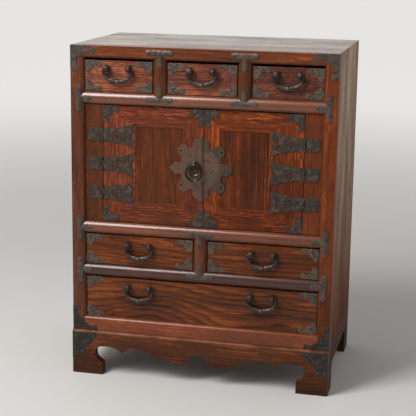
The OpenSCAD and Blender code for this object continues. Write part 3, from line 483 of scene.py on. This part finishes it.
RAIL_PARTS = (0.1, 0.2, 0.25, 0.35)
# The side boards: pale greyish wood, made paler by a painted reflection of a bright wall, and darker towards the
# bottom, a painted reflection of the floor
SIDE_LOOK = {"tones": ((96, 74, 58), (178, 151, 127), (222, 200, 176)), "grain": "z", "waves": 0.008, "stretch": 0.05,
             "parts": (0.2, 0.3, 0.34, 0.42), "gloss": 0.6, "specular": 0.04,
             "tint": ("Z", 0.05, 0.72, (140, 84, 36))}
PANEL_LOOK = {"ring": 0.0046, "waves": 0.004, "stretch": 0.04, "coat": 0.05}
PLAIN_LOOK = {"waves": 0.02, "stretch": 0.12, "gloss": 0.62, "relief": 0.6, "worn": 0.15}
FINISHES = {
    # Frame of half-round rails and posts, polished by use
    "top_rail": wood("top_rail_wood", ((60, 28, 16), (106, 53, 26), (168, 84, 36)), "x", (0.2, 0.22, -0.70),
                     ring=0.008, gloss=0.36, coat=0.3, relief=0.3),
    "upper_rail": wood("upper_rail_wood", ((78, 38, 21), (114, 57, 30), (152, 80, 43)), "x", (-0.1, 0.3, -0.6),
                       ring=0.009, parts=RAIL_PARTS, gloss=0.34, coat=0.9, coat_gloss=0.26, coat_index=1.68,
                       relief=0.15),
    "middle_rail": wood("middle_rail_wood", ((76, 38, 22), (114, 58, 32), (150, 82, 46)), "x", (0.3, 0.28, -0.3),
                        ring=0.009, parts=RAIL_PARTS, gloss=0.34, coat=0.8, relief=0.2),
    "lower_rail": wood("lower_rail_wood", ((46, 25, 19), (72, 39, 29), (100, 56, 40)), "x", (0.0, 0.3, -0.2),
                       ring=0.009, parts=RAIL_PARTS, gloss=0.34, coat=0.62, relief=0.25),
    "bottom_rail": wood("bottom_rail_wood", ((74, 33, 16), (118, 54, 24), (166, 82, 35)), "x", (0.1, 0.26, -0.12),
                        ring=0.007, parts=(0.12, 0.26, 0.26, 0.3), gloss=0.36, coat=0.45, relief=0.25),
    "post_left": wood("left_post_wood", ((60, 32, 20), (96, 52, 32), (134, 72, 40)), "z", (-0.3, 0.25, -0.3),
                      ring=0.007, coat=0.15, relief=0.35),
    "post_right": wood("right_post_wood", ((72, 32, 16), (112, 52, 22), (156, 76, 30)), "z", (-0.2, 0.24, 0.3),
                       ring=0.007, coat=0.1, relief=0.35, tint=("Z", 0.12, 0.5, (182, 178, 178))),
    "dividers": wood("divider_wood", ((58, 30, 18), (94, 48, 26), (132, 68, 36)), "z", (-0.3, 0.24, 0.0),
                     ring=0.007, gloss=0.36, coat=0.3, relief=0.3),
    "jambs": wood("jamb_wood", ((62, 28, 16), (106, 52, 28), (146, 72, 34)), "z", (-0.6, 0.22, 0.05),
                  ring=0.005, gloss=0.5, relief=0.45, tint=("X", -0.1, 0.1, (216, 238, 252))),
    "stand_front": wood("stand_wood", ((54, 27, 14), (87, 45, 23), (136, 70, 31)), "x", (0.12, 0.22, -0.09),
                        ring=0.007, waves=0.02, stretch=0.08, parts=(0.14, 0.3, 0.46, 0.3), coat=0.12, worn=0.6,
                        tint=("Z", 0.035, 0.085, (192, 190, 192))),
    "stand_sides": wood("stand_side_wood", ((46, 26, 16), (68, 40, 24), (92, 56, 34)), "y", (0.0, 0.1, -0.05),
                        gloss=0.55, specular=0.1, relief=0.5),
    # Dull boards of the top and sides, their pale tones partly a painted reflection of a bright wall
    "top_board": wood("top_wood", ((88, 74, 64), (150, 137, 125), (196, 184, 171)), "x", (0.1, 0.3, -0.6),
                      waves=0.01, stretch=0.04, parts=(0.2, 0.3, 0.26, 0.46), gloss=0.36, specular=0.5,
                      relief=0.35),
    "side_board_left": wood("left_side_wood", pith=(-0.3, 0.1, -0.2), **SIDE_LOOK),
    "side_board_right": wood("right_side_wood", pith=(-0.3, 0.1, 0.2), **SIDE_LOOK),
    # Plain boards behind
    "back_board": wood("back_wood", ((92, 66, 46), (126, 98, 72), (152, 124, 96)), "z", (-0.4, -0.1, 0.1),
                       ring=0.009, **PLAIN_LOOK),
    # Doors
    "door_left_frame": door_wood("left_door_wood", "left"),
    "door_right_frame": door_wood("right_door_wood", "right"),
    "door_left_panel": wood("left_panel_wood", ((62, 30, 17), (90, 45, 24), (130, 64, 28)), "z",
                            (-0.5, 0.3, -0.25), parts=(0.2, 0.3, 0.5, 0.3), **PANEL_LOOK),
    "door_right_panel": wood("right_panel_wood", ((48, 23, 12), (78, 37, 17), (124, 58, 24)), "z",
                             (-0.5, 0.28, 0.24), parts=(0.18, 0.36, 0.5, 0.3), **PANEL_LOOK),
    # Irons
    "lock_plate_left": plate_iron("lock_plate_iron"),
    "ring_pull": iron("ring_iron", (30, 27, 26), (82, 76, 70), (60, 44, 34), dent_size=0.006, dent_depth=0.1,
                      gloss=0.28, metal=0.9, rust=0.15, cold=0.1),
    "ring_staple": iron("boss_iron", (58, 43, 33), (98, 79, 65), (96, 62, 44), dent_size=0.005, dent_depth=0.15,
                        gloss=0.26, metal=0.8, rust=0.4, cold=0.1),
    "jamb_hinges": iron("hinge_iron", (46, 41, 37), (78, 64, 52), (106, 76, 50), dent_size=0.0045, dent_depth=0.8,
                        gloss=0.46, metal=0.5, rust=0.5, cold=0.5),
    "corner_irons": iron("case_iron", (58, 52, 46), (96, 84, 72), (98, 66, 46), dent_size=0.006, dent_depth=0.7,
                         gloss=0.46, metal=0.5, rust=0.4, cold=0.15, tint=("Z", 0.1, 0.45, (166, 176, 182))),
    "strap_irons": iron("strap_iron", (62, 54, 47), (98, 86, 76), (100, 68, 48), dent_size=0.006, dent_depth=0.6,
                        gloss=0.48, metal=0.5, rust=0.4, cold=0.15),
}
# The stand's ledge: rubbed wear with a painted highlight along its top
rub_and_highlight_ledge(FINISHES["stand_front"], low=stand_top - 0.0065, high=stand_top - 0.004, colour=(134, 82, 54))
FINISHES["lock_plate_right"] = FINISHES["lock_plate_left"]
for node in ("hinge_pins", "door_left_irons", "door_right_irons"):
    FINISHES[node] = FINISHES["jamb_hinges"]

# Plain boards inside
inner_level = wood("inner_board_wood", ((104, 74, 50), (138, 104, 74), (166, 132, 98)), "x", (0.1, 0.2, -0.3),
                   ring=0.01, **PLAIN_LOOK)
inner_deep = wood("drawer_side_wood", ((108, 78, 54), (142, 108, 78), (170, 136, 102)), "y", (0.1, 0.2, -0.3),
                  ring=0.01, **PLAIN_LOOK)
for node in ("partitions", "upper_shelf", "cupboard_floor", "lower_shelf", "bottom_board"):
    FINISHES[node] = inner_level
FINISHES["drawer_guides"] = inner_deep

# Drawers, their irons darker on the heads of the handles than on the sheets
drawer_iron = iron("drawer_iron", (62, 53, 45), (108, 94, 82), (108, 76, 54), dent_size=0.0045, dent_depth=0.9,
                   gloss=0.44, metal=0.5, rust=0.5, cold=0.25)
tint_by_depth(drawer_iron, near=0.0022, far=0.0036, colour=(46, 42, 39))
# The small and medium drawers' fronts darken towards the right: painted shade, away from the light at the left
drawer_woods = {
    "small": wood("small_drawer_wood", ((62, 30, 21), (112, 59, 41), (170, 94, 60)), "x", (0.05, 0.19, -0.71),
                  ring=0.0042, waves=0.024, stretch=0.26, parts=(0.2, 0.46, 0.46, 0.36), gloss=0.36, coat=0.45,
                  tint=("X", 0.24, 0.02, (186, 176, 186))),
    "medium": wood("medium_drawer_wood", ((58, 28, 15), (99, 49, 22), (146, 76, 32)), "x", (-0.2, 0.22, -0.33),
                   ring=0.0058, waves=0.014, stretch=0.08, parts=(0.32, 0.4, 0.34, 0.3), gloss=0.38, coat=0.1,
                   tint=("X", 0.24, -0.06, (236, 232, 236))),
    "wide": wood("wide_drawer_wood", ((51, 24, 12), (90, 45, 19), (138, 69, 26)), "x", (0.12, 0.15, -0.098),
                 ring=0.013, waves=0.036, stretch=0.46, reach=0.075, parts=(0.38, 0.26, 0.32, 0.46), gloss=0.36,
                 coat=0.15),
}
for drawer in DRAWERS:
    FINISHES[drawer + "_front"] = drawer_woods[drawer.split("_")[0]]
    FINISHES[drawer + "_box"] = inner_deep
    FINISHES[drawer + "_irons"] = drawer_iron

# Handles, the fronts of their grips rubbed paler
handle_iron = iron("handle_iron", (48, 45, 42), (84, 77, 69), (76, 54, 42), dent_size=0.006, dent_depth=0.2,
                   gloss=0.42, metal=0.7, rust=0.3, cold=0.2)
tint_by_depth(handle_iron, near=0.0126, far=0.0146, colour=(104, 92, 81))
pulls = [name for name in cad_nodes if name.startswith("handle_")]
for name in pulls:
    FINISHES[name] = handle_iron
nail_iron = iron("nail_iron", (70, 62, 54), (110, 100, 90), (100, 70, 52), dent_size=0.003, dent_depth=0.1,
                 gloss=0.4, metal=0.6, rust=0.3, cold=0.2)
for name, piece in cad_nodes.items():
    for slot in piece.material_slots:
        slot.material = FINISHES[name]


# ---------- modelling helpers ----------

SMOOTH_ANGLE = 60
FACING = 0.9     # a face's normal along an axis, from which on it faces that way
IN_FRONT = -0.5     # a level of Y in front of the whole cabinet


def start_piece(kind, **options):
    """Adds a primitive with nothing else selected and opens it in edit mode."""
    bpy.ops.object.select_all(action="DESELECT")
    getattr(bpy.ops.mesh, "primitive_" + kind + "_add")(**options)
    bpy.ops.object.transform_apply(location=True, rotation=True, scale=True)
    bpy.ops.object.mode_set(mode="EDIT")
    bpy.context.tool_settings.mesh_select_mode = (False, False, True)
    return bpy.context.object


def select_faces(piece, wanted):
    bpy.ops.object.mode_set(mode="OBJECT")
    mesh = piece.data
    for part in (mesh.vertices, mesh.edges, mesh.polygons):
        part.foreach_set("select", [False] * len(part))
    for face in mesh.polygons:
        face.select = wanted(face)
    bpy.ops.object.mode_set(mode="EDIT")


def draw_out(step, turn=0.0, grow=(1.0, 1.0, 1.0), centre=(0.0, 0.0, 0.0)):
    """Extrudes the selected face by a step, then turns it about Y and resizes it round the centre."""
    bpy.ops.mesh.extrude_region_move(TRANSFORM_OT_translate={"value": step})
    if turn:
        bpy.ops.transform.rotate(value=turn, orient_axis="Y", center_override=centre)
    bpy.ops.transform.resize(value=grow, center_override=centre)


def close_piece(name, material):
    bpy.ops.object.mode_set(mode="OBJECT")
    piece = bpy.context.object
    piece.name = name
    bpy.ops.object.shade_smooth_by_angle(angle=math.radians(SMOOTH_ANGLE))
    piece.data.materials.append(material)
    return piece


def copies(model, places, name):
    """One piece of copies of a model, moved to the places, each copy with its own mesh."""
    bpy.ops.object.select_all(action="DESELECT")
    made = []
    for place in places:
        copy = model.copy()
        copy.data = model.data.copy()
        copy.location = place
        bpy.context.collection.objects.link(copy)
        copy.select_set(True)
        made.append(copy)
    bpy.context.view_layer.objects.active = made[0]
    if len(made) > 1:
        bpy.ops.object.join()
    bpy.ops.object.transform_apply(location=True, rotation=True, scale=True)
    made[0].name = made[0].data.name = name
    return made[0]


def on_front(x, z):
    """The point of the cabinet's front at x and z, as seen from in front."""
    view = bpy.context.evaluated_depsgraph_get()
    return bpy.context.scene.ray_cast(view, Vector((x, IN_FRONT, z)), Vector((0, 1, 0)))[1]


# ---------- nails ----------

NAIL_R, NAIL_RIM = 0.0017, 0.0006
# Each ring of a nail's head: how far it stands out from the last one, and its share of that one's width
NAIL_DOME = [(0.0003, 0.86), (0.0003, 0.66), (0.0001, 0.35)]

# Places of the nails in millimetres. Inwards from a corner of a drawer's or door's front:
DRAWER_NAILS = [(33.5, 6.5), (21, 5.5), (7, 21.5), (5.5, 5.5), (14.5, 14)]
DOOR_NAILS = [(32, 8), (8.5, 32.5), (16.5, 16.5), (6, 6), (20.5, 6), (6.5, 20.5)]
# From a hinge's pin towards the doors' meeting line or away from it, and up:
HINGE_NAILS = [(11, 9), (11, -9), (22, 10), (22, -10), (47, 0), (70, 21), (70, -21)]
JAMB_NAILS = [(13, 9), (13, -9), (26, 9), (26, -9)]
# From the lock plate's middle outwards and up:
PLATE_NAILS = [(43, 33), (43, -33), (33, 43), (33, -43), (60, 0), (13, 60), (13, -60)]
# Inwards from the case's side, and down from its top, up from the stand or down from the stand's top:
CASE_TOP_NAILS = [(50, 9), (9, 50), (6, 6), (28, 6.5), (6.5, 28), (18, 18)]
CASE_FOOT_NAILS = [(52, 6), (6, 52), (20, 18), (6, 8)]
STAND_NAILS = [(50, 12), (24, 51), (8, 52), (9, 14), (30, 26)]

HINGE_X, HINGE_HALF = 0.230, 0.015     # the pins' distance from the middle, and half a hinge's height
# T straps at the ends of the rails: the upright bar, its nails above and below, and the arm's nail
END_BAR_X, END_BAR_NAIL, END_ARM_X = 0.2825, 0.024, 0.257
# T straps on the dividers: nails to both sides of the bar's middle, the bar's shift off the rail's
# middle, the stem's nail, and the same on the straps of the top rail
BAR_NAIL, BAR_SHIFT, STEM_NAIL, TOP_BAR_DROP, TOP_STEM_NAIL = 0.026, 0.002, 0.024, 0.006, 0.029


def model_nail():
    """A low round head, pointing forward, with its middle at the origin."""
    nail = start_piece("cylinder", vertices=10, radius=NAIL_R, depth=NAIL_RIM, rotation=(math.pi / 2, 0, 0))
    select_faces(nail, lambda face: face.normal.y < -FACING)
    for step, share in NAIL_DOME:
        draw_out((0, -step, 0), grow=(share, 1, share))
    return close_piece("iron_nail", nail_iron)


def corner_places(low, high, offsets):
    """Places in the four corners of a board, from offsets given for one corner, in millimetres."""
    for right in (False, True):
        for top in (False, True):
            for across, up in offsets:
                yield (high.x - across / 1000 if right else low.x + across / 1000,
                       high.z - up / 1000 if top else low.z + up / 1000)


def nail_board(name, body, spots):
    piece = copies(nail_model, [on_front(x, z) for x, z in spots], name)
    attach(piece, body)


nail_model = model_nail()
for drawer in DRAWERS:
    nail_board(drawer + "_nails", drawer, corner_places(*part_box(drawer + "_front"), DRAWER_NAILS))

hinge_low, hinge_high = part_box("jamb_hinges")
hinge_levels = [hinge_low.z + HINGE_HALF, door_mid, hinge_high.z - HINGE_HALF]
for side, way in SIDES.items():
    spots = list(corner_places(*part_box(f"door_{side}_frame"), DOOR_NAILS))
    for level in hinge_levels:
        spots += [(way * (HINGE_X - along / 1000), level + up / 1000) for along, up in HINGE_NAILS]
    spots += [(way * across / 1000, door_mid + up / 1000) for across, up in PLATE_NAILS]
    nail_board(f"door_{side}_nails", f"door_{side}", spots)

rail_mid = {rail: (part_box(rail)[0].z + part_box(rail)[1].z) / 2 for rail in ("upper_rail", "middle_rail", "lower_rail")}
case_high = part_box("corner_irons")[1]
case_spots = []
for way in SIDES.values():
    for edge, offsets, up_way in ((case_high.z, CASE_TOP_NAILS, -1), (stand_top, CASE_FOOT_NAILS, 1),
                                  (stand_top, STAND_NAILS, -1)):
        case_spots += [(way * (case_high.x - across / 1000), edge + up_way * up / 1000) for across, up in offsets]
    for level in hinge_levels:
        case_spots += [(way * (HINGE_X + along / 1000), level + up / 1000) for along, up in JAMB_NAILS]
    for middle in rail_mid.values():
        case_spots += [(way * END_BAR_X, middle + step) for step in (-END_BAR_NAIL, END_BAR_NAIL)]
        case_spots.append((way * END_ARM_X, middle))
strap_x = (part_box("small_drawer_right_front")[0].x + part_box("small_drawer_middle_front")[1].x) / 2
for x, rail, way in ((-strap_x, "upper_rail", 1), (strap_x, "upper_rail", 1), (0, "middle_rail", -1),
                     (0, "lower_rail", 1)):
    level = rail_mid[rail] + way * BAR_SHIFT
    case_spots += [(x - BAR_NAIL, level), (x + BAR_NAIL, level), (x, level), (x, level + way * STEM_NAIL)]
top_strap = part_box("strap_irons")[1].z - TOP_BAR_DROP
for x in (-strap_x, strap_x):
    case_spots += [(x - BAR_NAIL, top_strap), (x + BAR_NAIL, top_strap), (x, top_strap),
                   (x, top_strap - TOP_STEM_NAIL)]
nail_board("case_nails", "cabinet", case_spots)
bpy.data.objects.remove(nail_model)


# ---------- handles ----------

PIVOT_R, ELBOW_R, ARM_R = 0.0019, 0.0033, 0.0030
GRIP_TALL, GRIP_THICK = 0.0060, 0.0040     # half sizes of the swollen grip
GRIP_BELOW = 0.0058     # from the grip's middle line down to the CAD handle's lowest point
HANDLE_OFF = 0.009     # the handles hang this far in front of the drawers' faces
# From an elbow's middle inwards and up, with the radius there
HANDLE_END = [(0.0105, 0, PIVOT_R), (0.0039, 0, PIVOT_R), (0.0026, 0, ARM_R * 0.95), (0.0006, -0.0008, ELBOW_R)]
ARM_TURNS = range(12, 82, 7)     # degrees along the bend from an elbow to the middle
BEND_POWER, SWELL_POWER = 0.8, 3
# From the grip's middle sideways and forward, with the shares of the grip's height and thickness there
STUD = [(-0.0052, -0.0002, 0.9, 0.92), (-0.0046, -0.0006, 0.7, 0.95), (-0.0034, -0.0010, 0.84, 1.16),
        (-0.0014, -0.0011, 0.95, 1.3)]
STUB = 0.001     # length of the cylinder that the first stop is drawn out from


def model_handle(width, drop):
    """A bail: pivots that go into the heads, round elbows, thin arms, a swollen grip and a round stud.
    Each stop on its path is a place with the half height and half thickness there."""
    half = width / 2 - ELBOW_R
    path = [(-half + inwards, 0, up, radius, radius) for inwards, up, radius in HANDLE_END]
    for turn in ARM_TURNS:
        a = math.radians(turn)
        swell = math.sin(a) ** SWELL_POWER
        path.append((-half * math.cos(a) ** BEND_POWER, 0, -drop * math.sin(a) ** BEND_POWER,
                     ARM_R + (GRIP_TALL - ARM_R) * swell, ARM_R + (GRIP_THICK - ARM_R) * swell))
    path += [(x, y, -drop, GRIP_TALL * tall, GRIP_THICK * thick) for x, y, tall, thick in STUD]
    path += [(-x, y, z, tall, thick) for x, y, z, tall, thick in reversed(path)]
    handle = start_piece("cylinder", vertices=12, radius=PIVOT_R, depth=STUB, rotation=(0, math.pi / 2, 0),
                         location=(path[0][0] + STUB / 2, 0, 0))
    select_faces(handle, lambda face: face.normal.x < -FACING)
    heading = math.pi
    for last, here, after in zip(path, path[1:], path[2:] + path[-1:]):
        onward = math.atan2(after[2] - last[2], after[0] - last[0])
        turn = (onward - heading + math.pi) % (2 * math.pi) - math.pi
        heading = onward
        draw_out([here[i] - last[i] for i in range(3)], turn,
                 (here[3] / last[3], here[4] / last[4], here[3] / last[3]), here[:3])
    handle = close_piece("handle_model", handle_iron)
    rounded = handle.modifiers.new("rounded", "SUBSURF")
    rounded.levels = rounded.render_levels = 1
    bpy.ops.object.modifier_apply(modifier=rounded.name)
    return handle


low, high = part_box(pulls[0])
handle_model = model_handle(high.x - low.x, (high.z - low.z) - ELBOW_R - GRIP_BELOW)
for name in pulls:
    low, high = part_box(name)
    handle = copies(handle_model, [((low.x + high.x) / 2, face_y - HANDLE_OFF, high.z - ELBOW_R)],
                    name.replace("handle", "bail"))
    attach(handle, name)
    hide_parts(name)
bpy.data.objects.remove(handle_model)


# ---------- studio and camera ----------

FLOOR_R = 40.0
FLOOR_COLOUR, FLOOR_SEEN = (214, 212, 208), (222, 221, 218)
GLOW_NEAR, GLOW_FAR, GLOW = 0.8, 5.0, 0.6     # the floor brightens for the camera between these distances
ROOM_LOW, ROOM_HIGH, BACK_WALL, SKY_SEEN = (140, 140, 142), (170, 170, 172), (240, 240, 238), (228, 227, 224)
# Where the room's light changes, as parts of a direction: up to the ceiling, on to the wall and up past it
CEILING, WALL_AHEAD, WALL_TOP = (0.1, 0.9), (-0.4, 0.5), (0.6, 0.25)
WINDOW_FROM, WINDOW_POWER, WINDOW_ANGLE = (-0.55, -0.62, 0.56), 0.55, 28
BOX_PLACE, BOX_FROM = (-0.85, -1.25, 2.03), (-0.75, -1.07, 1.38)
BOX_WIDTH, BOX_HEIGHT, BOX_POWER = 0.8, 1.2, 37.0
CAMERA_PLACE, CAMERA_LENS = (0.61065, -2.71287, 1.00985), 104.05
CAMERA_TURN, CAMERA_TILT, CAMERA_ROLL = 13.131, 77.119, 0.759

bpy.ops.object.select_all(action="DESELECT")
bpy.ops.mesh.primitive_circle_add(vertices=96, radius=FLOOR_R, fill_type="NGON", location=(0, 0, 0))
floor = bpy.context.object
floor.name = "studio_floor"
floor_material, tree, shader, place = new_material("pale_floor")
away = add(tree, "VectorMath", {0: place}, operation="LENGTH").outputs["Value"]
seen = add(tree, "LightPath").outputs["Is Camera Ray"]
glow = math_node(tree, "MULTIPLY", seen, ramp(tree, away, GLOW_NEAR, GLOW_FAR, 0.0, GLOW))
fill(tree, shader, {"Base Color": shade(*FLOOR_COLOUR), "Roughness": 0.9, "Specular IOR Level": 0.1,
                    "Emission Color": shade(*FLOOR_SEEN), "Emission Strength": glow})
floor.data.materials.append(floor_material)
floor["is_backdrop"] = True

world = bpy.data.worlds.new("studio_light")
bpy.context.scene.world = world
world.use_nodes = True
tree = world.node_tree
tree.nodes.clear()
direction = add(tree, "SeparateXYZ", {0: add(tree, "TexCoord").outputs["Generated"]}).outputs
room = blend(tree, ramp(tree, direction["Z"], *CEILING), shade(*ROOM_LOW), shade(*ROOM_HIGH))
wall = math_node(tree, "MULTIPLY", ramp(tree, direction["Y"], *WALL_AHEAD), ramp(tree, direction["Z"], *WALL_TOP))
room = blend(tree, wall, room, shade(*BACK_WALL))
seen = add(tree, "LightPath").outputs["Is Camera Ray"]
ground = add(tree, "Background", {"Color": blend(tree, seen, room, shade(*SKY_SEEN)), "Strength": 1.0})
add(tree, "OutputWorld", {"Surface": ground.outputs[0]})


def add_lamp(kind, name, place, source):
    """A lamp that shines from the direction given, seen from the cabinet."""
    bpy.ops.object.light_add(type=kind, location=place)
    lamp = bpy.context.object
    lamp.name = name
    lamp.rotation_euler = Vector(source).to_track_quat("Z", "Y").to_euler()
    return lamp.data


sun = add_lamp("SUN", "window_light", (0, 0, 3), WINDOW_FROM)
sun.energy = WINDOW_POWER
sun.angle = math.radians(WINDOW_ANGLE)
soft_box = add_lamp("AREA", "soft_box", BOX_PLACE, BOX_FROM)
soft_box.shape = "RECTANGLE"
soft_box.size, soft_box.size_y = BOX_WIDTH, BOX_HEIGHT
soft_box.energy = BOX_POWER

bpy.ops.object.camera_add()
camera = bpy.context.object
camera.name = "photo_camera"
camera.data.lens = CAMERA_LENS
camera.data.sensor_width = 36.0
camera.data.sensor_fit = "HORIZONTAL"
camera.data.clip_start, camera.data.clip_end = 0.05, 120.0
camera.matrix_world = (Matrix.Translation(CAMERA_PLACE)
                       @ Matrix.Rotation(math.radians(CAMERA_TURN), 4, "Z")
                       @ Matrix.Rotation(math.radians(CAMERA_TILT), 4, "X")
                       @ Matrix.Rotation(math.radians(CAMERA_ROLL), 4, "Z"))
bpy.context.scene.camera = camera
bpy.context.scene.view_settings.view_transform = "Standard"

low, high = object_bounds()
